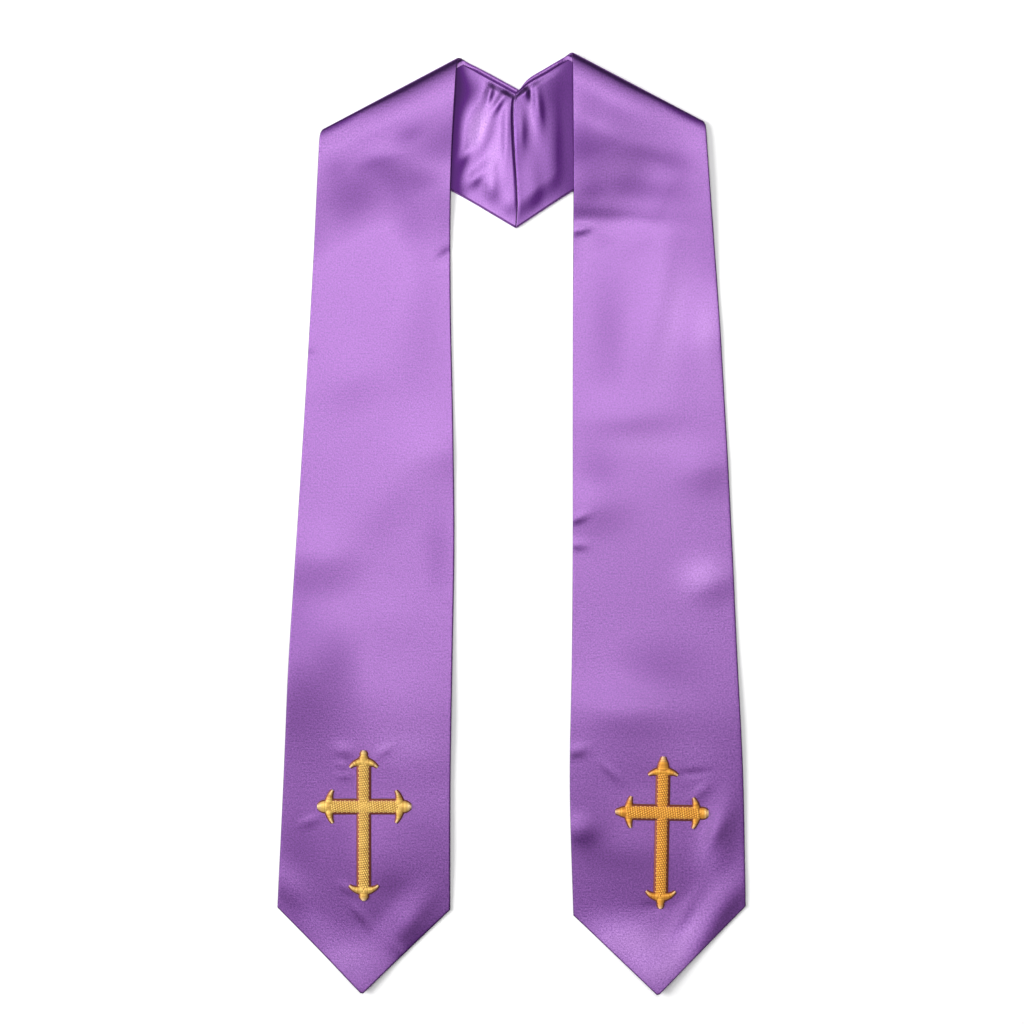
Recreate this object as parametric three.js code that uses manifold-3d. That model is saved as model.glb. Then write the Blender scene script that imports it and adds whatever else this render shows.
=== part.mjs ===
// A clergy stole of purple satin, laid out flat and face up.
//
// The stole is two strips, left and right. Each runs from its pointed hem up to the shoulder,
// turns over there in a soft roll, and runs on under itself to the mitred seam at the centre of
// the back. Between the shoulders the back shows its inner side, so its lining is a piece of its
// own. A padded, embroidered cross is sewn on each front above the hem.
//
// Millimetres, +Z up, +Y from the hems towards the neck. The underside lies on z = 0. Each half is
// worked out in its own plan, where "out" is the distance from the middle line of the garment.

import * as THREE from 'three';
import { mergeVertices } from 'three/addons/utils/BufferGeometryUtils.js';
import Module from 'manifold-3d';

// Thickness of the cloth
const WALL = 2.0; // face cloth and interlining, bagged out
const LINING_WALL = 1.0;
const SEAM_GAP = 0.3; // between pieces that are sewn together
const EDGE_WALL = 0.7; // where the wall thins out at a turned edge
const LINING_EDGE_WALL = 0.6;
const EDGE_ROUND = 1.0; // how far in from the edge the wall is full

// Sizes that both halves share
const ROLL_RADIUS = 5.0; // of the cloth's middle where it turns over at the shoulder
const HEM_FADE = 190; // how far up the front the rows stay pointed like the hem
const LINING_INSET = 1.0; // from the lower edge
const LINING_FROM = 0.03; // share of the way from the roll to the centre seam
const SEAM_BOW_POWER = 4; // how late the lines across the back take the seam's curve

// Face cloth rolled over the neck edge: a low, full lip, at distances in from the edge.
const LIP_WIDTH = 4.2;
const LIP = [
  { across: 0, wall: 2.2, middle: 1.9 },
  { across: 1.2, wall: 3.8, middle: 1.9 },
  { across: 3.2, wall: 3.4, middle: 1.7 },
];
const LIP_GROWTH_ROWS = 3;

// How many steps each stretch is divided into
const FRONT_ROWS = 44;
const ROLL_ROWS = 8;
const BACK_ROWS = 12;
const STRIP_COLUMNS = 12;
const LINING_ROWS = 17;
const LINING_COLUMNS = 14;
const DOME_SIDES = 5;
const PATH_STEPS = 60;

// The two halves. Sections give the inner and the outer edge of the front at each height. The
// apex and the shoulder are the ends of the fold. The neck edge runs from the apex to the notch,
// and the lower edge of the back from the shoulder to the bottom of the centre seam. Descent says
// how far in from the fold the lifted front starts down, and where it has come down, at its inner
// and its outer edge.
const HALVES = [
  {
    name: 'left',
    sign: -1,
    sections: [
      { y: -338, inner: 54.3, outer: 206.3 },
      { y: -226, inner: 54.0, outer: 200.9 },
      { y: -120, inner: 52.3, outer: 196.0 },
      { y: -15, inner: 50.6, outer: 189.6 },
      { y: 91, inner: 51.8, outer: 182.9 },
      { y: 196, inner: 53.9, outer: 176.7 },
      { y: 302, inner: 53.5, outer: 171.0 },
      { y: 410, inner: 48.0, outer: 165.4 },
    ],
    hem: { innerY: -340, outerY: -338, tipDepth: 75, tipShift: 1.4 },
    apex: { out: 45.8, y: 408.6 },
    shoulder: { out: 169.0, y: 343.4 },
    neckEdge: [
      { out: 20.0, y: 395.2 },
    ],
    lowerEdge: [
      { out: 112.0, y: 320.0 },
      { out: 53.7, y: 292.2 },
    ],
    descent: { from: 18, inner: 185, outer: 98 },
    cross: {
      out: 130.1,
      y: -249.0,
      turn: 0,
      barHalf: 5.9,
      barLift: 0.1,
      heads: [
        { angle: 90, reach: 49.5, bud: 8.2, budHalf: 3.7, leafBack: 14.1, leafAcross: 12.1 },
        { angle: -90, reach: 82.8, bud: 7.0, budHalf: 3.2, leafBack: 12.6, leafAcross: 12.6 },
        { angle: 180, reach: 40.9, bud: 8.0, budHalf: 4.7, leafBack: 12.5, leafAcross: 13.6 },
        { angle: 0, reach: 41.8, bud: 8.0, budHalf: 4.6, leafBack: 12.5, leafAcross: 13.2 },
      ],
    },
  },
  {
    name: 'right',
    sign: 1,
    sections: [
      { y: -338, inner: 53.9, outer: 205.5 },
      { y: -226, inner: 50.8, outer: 203.3 },
      { y: -120, inner: 52.6, outer: 198.3 },
      { y: -15, inner: 53.4, outer: 193.6 },
      { y: 91, inner: 53.4, outer: 188.0 },
      { y: 196, inner: 53.6, outer: 181.6 },
      { y: 302, inner: 54.0, outer: 173.6 },
      { y: 410, inner: 53.2, outer: 166.2 },
    ],
    hem: { innerY: -345, outerY: -337, tipDepth: 74, tipShift: -1.7 },
    apex: { out: 51.9, y: 413.2 },
    shoulder: { out: 171.2, y: 350.4 },
    neckEdge: [
      { out: 30.0, y: 400.2 },
      { out: 14.1, y: 390.3 },
    ],
    lowerEdge: [
      { out: 112.0, y: 324.0 },
      { out: 54.0, y: 292.0 },
    ],
    descent: { from: 20, inner: 185, outer: 180 },
    cross: {
      out: 132.0,
      y: -254.3,
      turn: -1.1,
      barHalf: 6.1,
      barLift: 0.6,
      heads: [
        { angle: 90, reach: 49.4, bud: 11.0, budHalf: 4.4, leafBack: 15.6, leafAcross: 12.9 },
        { angle: -90, reach: 84.7, bud: 8.4, budHalf: 3.4, leafBack: 14.6, leafAcross: 12.7 },
        { angle: 180, reach: 41.3, bud: 9.6, budHalf: 4.3, leafBack: 12.9, leafAcross: 13.6 },
        { angle: 0, reach: 40.5, bud: 8.4, budHalf: 4.9, leafBack: 12.6, leafAcross: 13.4 },
      ],
    },
  },
];
const DESCENT_ACROSS = 140; // fold length over which the inner descent becomes the outer one

// The mitred seam at the centre of the back, from the notch down; x is in the garment's frame.
const CENTRE_SEAM = [
  { x: 6.2, y: 381.0 },
  { x: 2.4, y: 374.0 },
  { x: 1.3, y: 362.0 },
  { x: 1.6, y: 344.0 },
  { x: 2.6, y: 322.0 },
  { x: 4.0, y: 300.0 },
  { x: 4.8, y: 278.0 },
  { x: 3.5, y: 259.2 },
];

// Soft ridges that lift the front off the table: place, direction in degrees, reach and rise.
const FRONT_RIDGES = {
  left: [
    { x: 150, y: 215, turn: 70, length: 60, width: 24, rise: 1.2 },
    { x: 84, y: 150, turn: 35, length: 50, width: 22, rise: 1.0 },
    { x: 160, y: 60, turn: 80, length: 70, width: 22, rise: 0.9 },
    { x: 88, y: 20, turn: 20, length: 52, width: 26, rise: 1.1 },
    { x: 140, y: -70, turn: 60, length: 60, width: 26, rise: 0.9 },
    { x: 80, y: -140, turn: 75, length: 50, width: 24, rise: 1.1 },
    { x: 190, y: -310, turn: 50, length: 26, width: 14, rise: 1.2 },
    { x: 96, y: -362, turn: -45, length: 36, width: 14, rise: 1.4 },
    { x: 132, y: -400, turn: 0, length: 34, width: 24, rise: 2.4 },
  ],
  right: [
    { x: 160, y: 226, turn: -75, length: 54, width: 22, rise: 1.1 },
    { x: 78, y: 258, turn: 8, length: 30, width: 14, rise: 1.2 },
    { x: 100, y: 140, turn: -60, length: 60, width: 26, rise: 0.9 },
    { x: 172, y: 110, turn: 20, length: 36, width: 24, rise: 1.1 },
    { x: 90, y: -10, turn: 30, length: 56, width: 24, rise: 0.9 },
    { x: 170, y: -52, turn: 30, length: 36, width: 17, rise: 1.6 },
    { x: 92, y: -170, turn: -25, length: 50, width: 17, rise: 1.3 },
    { x: 176, y: -330, turn: 40, length: 42, width: 17, rise: 2.2 },
    { x: 92, y: -366, turn: -48, length: 34, width: 14, rise: 1.4 },
    { x: 129, y: -400, turn: 0, length: 36, width: 26, rise: 3.2 },
  ],
};
const FLAT_UNDER_CROSS = { halfWidth: 58, halfHeight: 86, soft: 0.35 };

// Wrinkles of the loose lining at the neck, in the garment's frame, falling from the notch.
const LINING_RIDGES = [
  { x: -14, y: 366, turn: 62, length: 13, width: 5, rise: 2.2 },
  { x: -26, y: 336, turn: 62, length: 30, width: 11, rise: 3.0 },
  { x: -14, y: 298, turn: 84, length: 30, width: 7, rise: 2.4 },
  { x: -38, y: 308, turn: 48, length: 20, width: 7, rise: 1.6 },
  { x: 9, y: 352, turn: 104, length: 17, width: 5, rise: 2.0 },
  { x: 18, y: 350, turn: 98, length: 28, width: 6, rise: 2.6 },
  { x: 12, y: 296, turn: 92, length: 34, width: 6, rise: 2.2 },
  { x: 32, y: 330, turn: 94, length: 40, width: 9, rise: 1.8 },
];
const LINING_FREE = { lip: 7, lowerEdge: 14, seam: 5, seamHold: 0.7, front: 9, hiddenFrom: 46 };

// The embroidered cross: two domed bars, and a bud between two leaves at each end. A bud is
// measured in shares of its length and half width, and a leaf in shares of the way to its tip.
const CROSS_BASE = 0.6;
const UPRIGHT_HALF = 5.35;
const BAR_RISE = 1.5;
const BUD = [
  { back: 1.25, half: 0.9, rise: 1.5 },
  { back: 0.8, half: 1.0, rise: 1.8 },
  { back: 0.5, half: 0.86, rise: 1.7 },
  { back: 0.2, half: 0.56, rise: 1.5 },
  { back: 0, half: 0.2, rise: 0.9 },
];
const LEAF_ROOT = 3.2; // how far behind the bud the middle of the leaf starts
const LEAF = [
  { share: 0.05, half: 3.2, rise: 1.5 },
  { share: 0.4, half: 2.7, rise: 1.5 },
  { share: 0.72, half: 1.8, rise: 1.3 },
  { share: 1, half: 0.5, rise: 0.7 },
];

// Finishes
const SATIN = { color: 0x9a63c8, roughness: 0.42, metalness: 0 };
const LINING_SATIN = { color: 0x8e54bd, roughness: 0.36, metalness: 0 };
const GOLD_THREAD = { color: 0xd9a13c, roughness: 0.45, metalness: 0.15 };

const UP = new THREE.Vector3(0, 0, 1);
const DOWN = new THREE.Vector3(0, 0, -1);
const mix = THREE.MathUtils.lerp;

// From 1 at t = 0 to 0 at t = 1, level at both ends.
function fade(t) {
  return 0.5 + 0.5 * Math.cos(Math.PI * THREE.MathUtils.clamp(t, 0, 1));
}

// Edges of a half in plan

// A smooth curve through plan points, as a list of evenly spaced points.
function smoothPath(points) {
  const knots = points.map((p) => new THREE.Vector3(p.x, p.y, 0));
  return new THREE.CatmullRomCurve3(knots, false, 'centripetal').getSpacedPoints(PATH_STEPS);
}

// The point a share of the way along a path.
function along(path, share) {
  const place = THREE.MathUtils.clamp(share, 0, 1) * (path.length - 1);
  const index = Math.min(Math.floor(place), path.length - 2);
  return path[index].clone().lerp(path[index + 1], place - index);
}

// Where a plan point lies in the fold's own axes: in from the fold, and along it from the apex.
function foldPlace(half, point) {
  const offset = point.clone().sub(half.origin);
  return { depth: offset.dot(half.foldIn), reach: offset.dot(half.foldAlong) };
}

// The share of a path at which it first lies a given depth in from the fold.
function shareAtDepth(half, path, depth) {
  const halvings = 40;
  let low = 0;
  let high = 1;
  for (let i = 0; i < halvings; i++) {
    const middle = (low + high) / 2;
    if (foldPlace(half, along(path, middle)).depth < depth) low = middle;
    else high = middle;
  }
  return high;
}

// A half with its fold axes and its four edges, each edge starting at the fold.
function layOut(half) {
  const asPoints = (list) => list.map((p) => ({ x: p.out, y: p.y }));
  const [apex, shoulder] = asPoints([half.apex, half.shoulder]);
  const seam = CENTRE_SEAM.map((p) => ({ x: p.x * half.sign + SEAM_GAP / 2, y: p.y }));
  const sectionEdge = (key) => half.sections.map((p) => ({ x: p[key], y: p.y })).reverse();
  const origin = new THREE.Vector3(apex.x, apex.y, 0);
  const foldAlong = new THREE.Vector3(shoulder.x, shoulder.y, 0).sub(origin).normalize();
  const foldIn = new THREE.Vector3(foldAlong.y, -foldAlong.x, 0);
  const plan = { ...half, origin, foldAlong, foldIn };
  plan.seam = smoothPath(seam);
  plan.frontInner = smoothPath(sectionEdge('inner'));
  plan.frontOuter = smoothPath(sectionEdge('outer'));
  plan.neck = smoothPath([apex, ...asPoints(half.neckEdge), seam[0]]);
  plan.lower = smoothPath([shoulder, ...asPoints(half.lowerEdge), seam[seam.length - 1]]);
  for (const edge of ['frontInner', 'frontOuter', 'neck', 'lower']) {
    plan[edge + 'Start'] = shareAtDepth(plan, plan[edge], ROLL_RADIUS);
  }
  return plan;
}

// Heights of the cloth

function ridgeRise(ridges, x, y) {
  let rise = 0;
  for (const ridge of ridges) {
    const turn = THREE.MathUtils.degToRad(ridge.turn);
    const dx = x - ridge.x;
    const dy = y - ridge.y;
    const lengthwise = (dx * Math.cos(turn) + dy * Math.sin(turn)) / ridge.length;
    const crosswise = (dy * Math.cos(turn) - dx * Math.sin(turn)) / ridge.width;
    rise += ridge.rise * Math.exp(-lengthwise * lengthwise - crosswise * crosswise);
  }
  return rise;
}

// Height of the middle of the front's cloth: lifted by the roll, flat under the embroidery.
function frontHeight(half, point) {
  const { depth, reach } = foldPlace(half, point);
  const outward = THREE.MathUtils.clamp(reach / DESCENT_ACROSS, 0, 1);
  const down = mix(half.descent.inner, half.descent.outer, outward);
  const lift = 2 * ROLL_RADIUS * fade((depth - half.descent.from) / (down - half.descent.from));
  const clearOfRoll = 1 - fade((depth - 2 * ROLL_RADIUS) / (4 * ROLL_RADIUS));
  const dx = (point.x - half.cross.out) / FLAT_UNDER_CROSS.halfWidth;
  const dy = (point.y - half.cross.y) / FLAT_UNDER_CROSS.halfHeight;
  const clearOfCross = 1 - fade((Math.hypot(dx, dy) - 1) / FLAT_UNDER_CROSS.soft);
  const ridges = ridgeRise(FRONT_RIDGES[half.name], point.x, point.y);
  return WALL / 2 + lift + ridges * clearOfRoll * clearOfCross;
}

// Height of the middle of the lining, which is held down at its edges and loose between them.
function liningHeight(half, point, fromLip, fromLowerEdge) {
  const top = half.seam[0];
  const bottom = half.seam.at(-1);
  const seamPoint = along(half.seam, (top.y - point.y) / (top.y - bottom.y));
  const free =
    (1 - fade(fromLip / LINING_FREE.lip)) *
    (1 - fade(fromLowerEdge / LINING_FREE.lowerEdge)) *
    (1 - LINING_FREE.seamHold * fade((point.x - seamPoint.x) / LINING_FREE.seam)) *
    fade((point.x - LINING_FREE.hiddenFrom + LINING_FREE.front) / LINING_FREE.front);
  const ridges = ridgeRise(LINING_RIDGES, point.x * half.sign, point.y);
  return WALL + SEAM_GAP + LINING_WALL / 2 + ridges * free;
}

// Rows of a strip, each a list of points on the middle of the wall with the wall's thickness,
// and with its own normal where the wall stands upright on the table

// Shares across a row, with one close column beside each turned edge.
function columnShares(width) {
  const edge = EDGE_ROUND / width;
  const shares = [0];
  for (let j = 0; j <= STRIP_COLUMNS; j++) shares.push(mix(edge, 1 - edge, j / STRIP_COLUMNS));
  shares.push(1);
  return shares;
}

function edgeWall(shares, j, wall) {
  return j === 0 || j === shares.length - 1 ? EDGE_WALL : wall;
}

// A row of the front: level at the hem, parallel with the fold at the top.
function frontRow(half, share, raise, wall) {
  const inner = along(half.frontInner, mix(1, half.frontInnerStart, share));
  const outer = along(half.frontOuter, mix(1, half.frontOuterStart, share));
  const shares = columnShares(inner.distanceTo(outer));
  const base = half.sections[0].y;
  return shares.map((across, j) => {
    const point = inner.clone().lerp(outer, across);
    const corner = mix(half.hem.innerY, half.hem.outerY, across) - base;
    const tent = 1 - Math.abs(2 * across - 1);
    const pointed = fade((point.y - base) / HEM_FADE);
    point.y += (corner - half.hem.tipDepth * tent) * pointed + raise;
    point.x += half.hem.tipShift * tent * pointed;
    point.z = frontHeight(half, point);
    return { point, wall: edgeWall(shares, j, wall) };
  });
}

// How an edge slides along the fold while it goes round the roll, smooth with both its ends.
function edgeSlide(half, front, back) {
  const step = 0.02;
  const place = (edge, share) => foldPlace(half, along(half[edge], share));
  const from = place(front, half[front + 'Start']);
  const before = place(front, half[front + 'Start'] + step);
  const to = place(back, half[back + 'Start']);
  const after = place(back, half[back + 'Start'] + step);
  const arc = Math.PI * ROLL_RADIUS;
  const slopeFrom = (arc * (from.reach - before.reach)) / (before.depth - from.depth);
  const slopeTo = (arc * (after.reach - to.reach)) / (after.depth - to.depth);
  return (t) => {
    const square = t * t;
    const cube = square * t;
    return (
      (2 * cube - 3 * square + 1) * from.reach +
      (cube - 2 * square + t) * slopeFrom +
      (3 * square - 2 * cube) * to.reach +
      (cube - square) * slopeTo
    );
  };
}

// The rows of half a turn about the fold.
function rollRows(half) {
  const inner = edgeSlide(half, 'frontInner', 'neck');
  const outer = edgeSlide(half, 'frontOuter', 'lower');
  const rows = [];
  for (let i = 1; i < ROLL_ROWS; i++) {
    const t = i / ROLL_ROWS;
    const angle = Math.PI * (t - 0.5);
    const shares = columnShares(outer(t) - inner(t));
    const row = shares.map((across, j) => {
      const point = half.origin
        .clone()
        .addScaledVector(half.foldAlong, mix(inner(t), outer(t), across))
        .addScaledVector(half.foldIn, ROLL_RADIUS * (1 - Math.cos(angle)));
      point.z = WALL / 2 + ROLL_RADIUS * (1 - Math.sin(angle));
      return { point, wall: edgeWall(shares, j, WALL) };
    });
    rows.push(row);
  }
  return rows;
}

// A line across the back, a share of the way from the roll to the centre seam, and its points,
// which bow to the seam's own curve as they come near it.
function backLine(half, share) {
  const inner = along(half.neck, mix(half.neckStart, 1, share));
  const outer = along(half.lower, mix(half.lowerStart, 1, share));
  const pointAt = (across) => {
    const chord = half.seam[0].clone().lerp(half.seam.at(-1), across);
    const bow = along(half.seam, across).sub(chord);
    return inner.clone().lerp(outer, across).addScaledVector(bow, share ** SEAM_BOW_POWER);
  };
  return { width: inner.distanceTo(outer), pointAt };
}

// A row of the back, flat on the table but for the lip at the neck edge.
function backRow(half, share) {
  const { width, pointAt } = backLine(half, share);
  const plain = columnShares(width);
  const grown = 1 - fade((share * BACK_ROWS) / LIP_GROWTH_ROWS);
  const inside = plain.length - LIP.length - 2;
  return plain.map((_, j) => {
    const last = j === plain.length - 1;
    const flatShare = last ? 1 : mix(LIP_WIDTH, width - EDGE_ROUND, (j - LIP.length) / inside) / width;
    const point = pointAt(j < LIP.length ? LIP[j].across / width : flatShare);
    const flat = { wall: edgeWall(plain, j, WALL), middle: WALL / 2 };
    const lip = LIP[j] ?? flat;
    point.z = mix(flat.middle, lip.middle, grown);
    return { point, wall: mix(flat.wall, lip.wall, grown), normal: DOWN };
  });
}

function stripRows(half) {
  const hemInset = EDGE_ROUND * Math.SQRT2;
  const rows = [frontRow(half, 0, 0, EDGE_WALL), frontRow(half, 0, hemInset, WALL)];
  for (let i = 1; i <= FRONT_ROWS; i++) rows.push(frontRow(half, i / FRONT_ROWS, 0, WALL));
  rows.push(...rollRows(half));
  for (let i = 0; i <= BACK_ROWS; i++) rows.push(backRow(half, i / BACK_ROWS));
  return rows;
}

// The rows of the lining, between the lip and the lower edge of the back.
function liningRows(half) {
  const rows = [];
  for (let i = 0; i <= LINING_ROWS; i++) {
    const { width, pointAt } = backLine(half, mix(LINING_FROM, 1, i / LINING_ROWS));
    const first = LIP_WIDTH + SEAM_GAP;
    const last = width - LINING_INSET;
    const row = [];
    for (let j = 0; j <= LINING_COLUMNS; j++) {
      const across = mix(first, last, j / LINING_COLUMNS);
      const point = pointAt(across / width);
      point.z = liningHeight(half, point, across - first, last - across);
      const atEdge = i === 0 || i === LINING_ROWS || j === 0 || j === LINING_COLUMNS;
      row.push({ point, wall: atEdge ? LINING_EDGE_WALL : LINING_WALL, normal: UP });
    }
    rows.push(row);
  }
  return rows.reverse();
}

// Solids

function geometryFrom(positions, indices) {
  const geometry = new THREE.BufferGeometry();
  geometry.setAttribute('position', new THREE.Float32BufferAttribute(positions, 3));
  geometry.setIndex(indices);
  geometry.computeVertexNormals();
  return geometry;
}

// One closed wall round rows of middle points. Seen from the face side, the columns go right and
// the rows go up.
function wallGeometry(rows) {
  const rowCount = rows.length;
  const columnCount = rows[0].length;
  const at = (i, j) => {
    const row = rows[THREE.MathUtils.clamp(i, 0, rowCount - 1)];
    return row[THREE.MathUtils.clamp(j, 0, columnCount - 1)].point.clone();
  };
  const normalAt = (i, j) => {
    const lengthwise = at(i + 1, j).sub(at(i - 1, j));
    return at(i, j + 1).sub(at(i, j - 1)).cross(lengthwise).normalize();
  };
  const positions = [];
  for (const side of [0.5, -0.5]) {
    for (let i = 0; i < rowCount; i++) {
      for (let j = 0; j < columnCount; j++) {
        const { wall, normal = normalAt(i, j) } = rows[i][j];
        positions.push(...at(i, j).addScaledVector(normal, side * wall).toArray());
      }
    }
  }
  const face = (i, j) => i * columnCount + j;
  const under = (i, j) => rowCount * columnCount + face(i, j);
  const indices = [];
  const quad = (a, b, c, d) => indices.push(a, b, c, a, c, d);
  const lastRow = rowCount - 1;
  const lastColumn = columnCount - 1;
  for (let i = 0; i < lastRow; i++) {
    for (let j = 0; j < lastColumn; j++) {
      quad(face(i, j), face(i, j + 1), face(i + 1, j + 1), face(i + 1, j));
      quad(under(i, j), under(i + 1, j), under(i + 1, j + 1), under(i, j + 1));
    }
    quad(face(i, 0), face(i + 1, 0), under(i + 1, 0), under(i, 0));
    quad(face(i, lastColumn), under(i, lastColumn), under(i + 1, lastColumn), face(i + 1, lastColumn));
  }
  for (let j = 0; j < lastColumn; j++) {
    quad(face(0, j), under(0, j), under(0, j + 1), face(0, j + 1));
    quad(face(lastRow, j), face(lastRow, j + 1), under(lastRow, j + 1), under(lastRow, j));
  }
  return geometryFrom(positions, indices);
}

// Puts a half's rows in the garment's frame. The left half is mirrored, so its columns turn round.
function inGarment(half, rows) {
  for (const row of rows) {
    for (const { point } of row) point.x *= half.sign;
    if (half.sign < 0) row.reverse();
  }
  return rows;
}

// One domed stroke of embroidery on a flat base, along points with a half width and a rise each.
function strokeGeometry(points, base) {
  const positions = [];
  const ringSize = DOME_SIDES + 3;
  points.forEach((p, i) => {
    const before = points[Math.max(i - 1, 0)];
    const after = points[Math.min(i + 1, points.length - 1)];
    const ahead = new THREE.Vector2(after.x - before.x, after.y - before.y).normalize();
    const ring = [{ side: p.half, z: 0 }];
    for (let k = 0; k <= DOME_SIDES; k++) {
      const angle = (Math.PI * k) / DOME_SIDES;
      ring.push({ side: p.half * Math.cos(angle), z: base + p.rise * Math.sin(angle) });
    }
    ring.push({ side: -p.half, z: 0 });
    for (const { side, z } of ring) positions.push(p.x - ahead.y * side, p.y + ahead.x * side, z);
  });
  const indices = [];
  const last = (points.length - 1) * ringSize;
  for (let start = 0; start < last; start += ringSize) {
    for (let k = 0; k < ringSize; k++) {
      const [a, b] = [start + k, start + ((k + 1) % ringSize)];
      indices.push(a, b, b + ringSize, a, b + ringSize, a + ringSize);
    }
  }
  for (let k = 1; k < ringSize - 1; k++) {
    indices.push(0, k + 1, k, last, last + k, last + k + 1);
  }
  return geometryFrom(positions, indices);
}

// The strokes of one cross, centred on its crossing, with the crossbar over the upright.
function crossStrokes(cross) {
  const strokes = [];
  for (const head of cross.heads) {
    const angle = THREE.MathUtils.degToRad(head.angle);
    const [ux, uy] = [Math.cos(angle), Math.sin(angle)];
    const inHead = (back, across) => ({
      x: ux * (head.reach - back) - uy * across,
      y: uy * (head.reach - back) + ux * across,
    });
    const bud = BUD.map(({ back, half, rise }) => ({
      ...inHead(back * head.bud, 0),
      half: half * head.budHalf,
      rise,
    }));
    strokes.push(strokeGeometry(bud, CROSS_BASE));
    for (const side of [1, -1]) {
      const leaf = LEAF.map(({ share, half, rise }) => ({
        ...inHead(mix(head.bud + LEAF_ROOT, head.leafBack, share ** 2), share * head.leafAcross * side),
        half,
        rise,
      }));
      strokes.push(strokeGeometry(leaf, CROSS_BASE));
    }
  }
  const [top, foot, inner, outer] = cross.heads.map((head) => head.reach - head.bud);
  const end = (x, y, half) => ({ x, y, half, rise: BAR_RISE });
  const upright = [end(0, top, UPRIGHT_HALF), end(0, -foot, UPRIGHT_HALF)];
  const crossbar = [end(-inner, 0, cross.barHalf), end(outer, 0, cross.barHalf)];
  strokes.push(strokeGeometry(upright, CROSS_BASE));
  strokes.push(strokeGeometry(crossbar, CROSS_BASE + cross.barLift));
  return strokes;
}

const wasm = await Module();
wasm.setup();

function joinedGeometry(geometries) {
  let joined = null;
  for (const geometry of geometries) {
    geometry.deleteAttribute('normal');
    const merged = mergeVertices(geometry);
    const solid = new wasm.Manifold(
      new wasm.Mesh({
        numProp: 3,
        vertProperties: merged.attributes.position.array,
        triVerts: new Uint32Array(merged.index.array),
      }),
    );
    joined = joined ? joined.add(solid) : solid;
  }
  const mesh = joined.getMesh();
  return geometryFrom(Array.from(mesh.vertProperties), Array.from(mesh.triVerts));
}

// The garment

function namedMesh(name, geometry, finish) {
  const mesh = new THREE.Mesh(geometry, new THREE.MeshStandardMaterial(finish));
  mesh.name = name;
  return mesh;
}

const laidOut = new THREE.Group();
for (const sizes of HALVES) {
  const half = layOut(sizes);
  const strip = wallGeometry(inGarment(half, stripRows(half)));
  laidOut.add(namedMesh(half.name + '_strip', strip, SATIN));

  const lining = wallGeometry(inGarment(half, liningRows(half)));
  laidOut.add(namedMesh(half.name + '_neck_lining', lining, LINING_SATIN));

  const cross = joinedGeometry(crossStrokes(half.cross));
  const sewnOn = namedMesh(half.name + '_cross', cross, GOLD_THREAD);
  sewnOn.position.set(half.cross.out * half.sign, half.cross.y, WALL + SEAM_GAP);
  sewnOn.rotation.z = THREE.MathUtils.degToRad(half.cross.turn);
  laidOut.add(sewnOn);
}

// The origin is under the middle of the laid-out garment.
const box = new THREE.Box3().setFromObject(laidOut, true);
const middle = box.getCenter(new THREE.Vector3());
laidOut.position.set(-middle.x, -middle.y, -box.min.z);

const stole = new THREE.Group();
stole.add(laidOut);
export default stole;
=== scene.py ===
import math
from collections import namedtuple
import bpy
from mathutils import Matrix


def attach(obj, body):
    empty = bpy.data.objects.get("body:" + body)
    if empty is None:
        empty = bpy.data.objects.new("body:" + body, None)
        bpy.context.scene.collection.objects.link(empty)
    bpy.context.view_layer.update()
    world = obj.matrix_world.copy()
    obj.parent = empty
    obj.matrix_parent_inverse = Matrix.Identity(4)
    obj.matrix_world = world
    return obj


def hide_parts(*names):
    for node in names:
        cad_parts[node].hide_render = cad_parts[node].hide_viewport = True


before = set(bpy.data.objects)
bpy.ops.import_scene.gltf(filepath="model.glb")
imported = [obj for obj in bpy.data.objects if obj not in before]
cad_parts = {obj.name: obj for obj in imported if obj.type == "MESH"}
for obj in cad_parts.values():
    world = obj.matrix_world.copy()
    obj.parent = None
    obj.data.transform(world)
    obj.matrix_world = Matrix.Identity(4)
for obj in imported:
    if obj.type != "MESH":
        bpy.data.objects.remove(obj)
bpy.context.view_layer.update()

from types import SimpleNamespace

import bpy
import numpy as np

# A clergy stole of purple satin, laid out flat and face up, with an embroidered gold cross on
# each front. Sizes in the tables are millimetres in the garment's own plan, and MM makes metres.
MM = 0.001


# Camera. It looks straight down on the stole from high above the table, as a flat lay is
# photographed, with a long lens and the hems at the foot of the picture.
LENS = 85.0
SENSOR = 36.0
PICTURE_WIDTH = 0.9011  # metres of table from side to side of the picture
PICTURE_CENTRE = (0.0004, 0.0105)

bpy.ops.object.camera_add(location=(*PICTURE_CENTRE, PICTURE_WIDTH * LENS / SENSOR), rotation=(0, 0, 0))
camera = bpy.context.object
camera.name = "camera"
camera.data.lens = LENS
camera.data.sensor_width = SENSOR
bpy.context.scene.camera = camera


# Table and light. The table is a plain white sheet of paper, wide enough to fill every view, and
# the light comes from a large softbox over the neck, a second one low on the left, and the walls.
TABLE_SIZE = 12.0
TABLE_HEIGHT = -0.0003
PAPER_WHITES = ((0.95, 0.95, 0.95, 1), (0.97, 0.97, 0.97, 1))
PAPER_TOOTH_SCALE = 900.0
Softbox = namedtuple("Softbox", "place aim size watts")
SOFTBOXES = {
    "overhead_softbox": Softbox(place=(-0.02, 0.70, 2.8), aim=(-0.02, 0.70, 0), size=1.8, watts=47),
    "side_softbox": Softbox(place=(-4.9, 0.9, 3.9), aim=(0, 0, 0), size=3.0, watts=380),
}
WALL_LIGHT = 0.2


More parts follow.
